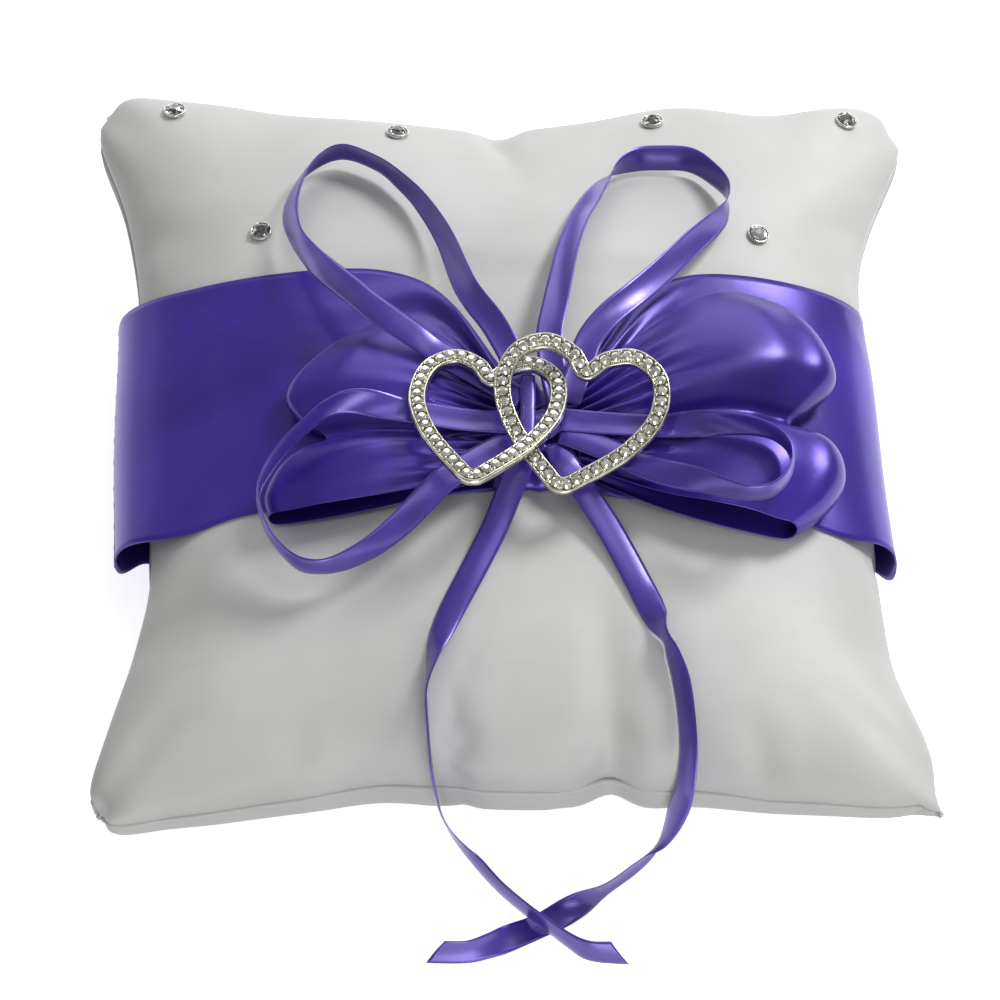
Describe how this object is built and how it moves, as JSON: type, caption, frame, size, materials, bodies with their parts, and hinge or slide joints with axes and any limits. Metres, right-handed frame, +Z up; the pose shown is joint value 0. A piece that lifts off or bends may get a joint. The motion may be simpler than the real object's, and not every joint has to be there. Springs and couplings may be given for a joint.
{
  "type": "ring bearer pillow",
  "caption": "Square satin ring bearer pillow with a wide purple ribbon sash and bow, a narrow ribbon bow with long tails, an interlocked double-heart rhinestone brooch and scattered stones.",
  "frame": {"origin": "under the middle of the pillow, on the surface it lies on", "axes": "+Z up out of the front panel, +X to the right along the sash, -Y towards the edge the ribbon tails fall over"},
  "size_m": [0.2016, 0.2287, 0.075],
  "materials": {
    "filling": "matt polyester fibre",
    "cover_satin": "off-white satin, soft sheen",
    "ribbon_satin": "blue-violet double-faced satin",
    "narrow_ribbon": "blue-violet satin with woven edges",
    "thread": "sewing thread",
    "brooch_metal": "polished, warm silver",
    "crystal": "faceted, clear"
  },
  "bodies": {
    "root": {"fiberfill": "filling", "cover_front": "cover_satin", "cover_back": "cover_satin", "edge_seam": "cover_satin", "sash_front": "ribbon_satin", "sash_back": "ribbon_satin", "sash_tack_left": "thread", "sash_tack_right": "thread", "bow_loop_left": "ribbon_satin", "bow_loop_right": "ribbon_satin", "bow_knot": "ribbon_satin", "ribbon_knot": "narrow_ribbon", "ribbon_loop_upper_left": "narrow_ribbon", "ribbon_loop_upper_right": "narrow_ribbon", "ribbon_loop_lower_left": "narrow_ribbon", "ribbon_loop_lower_right": "narrow_ribbon", "ribbon_tail_left": "narrow_ribbon", "ribbon_tail_right": "narrow_ribbon", "heart_frame_left": "brooch_metal", "heart_frame_right": "brooch_metal", "heart_stones_left": "crystal", "heart_stones_right": "crystal", "buckle_bar": "brooch_metal", "rhinestone_1": "crystal", "rhinestone_2": "crystal", "rhinestone_3": "crystal", "rhinestone_4": "crystal", "rhinestone_5": "crystal", "rhinestone_6": "crystal", "rhinestone_cup_1": "brooch_metal", "rhinestone_cup_2": "brooch_metal", "rhinestone_cup_3": "brooch_metal", "rhinestone_cup_4": "brooch_metal", "rhinestone_cup_5": "brooch_metal", "rhinestone_cup_6": "brooch_metal"}
  },
  "joints": []
}
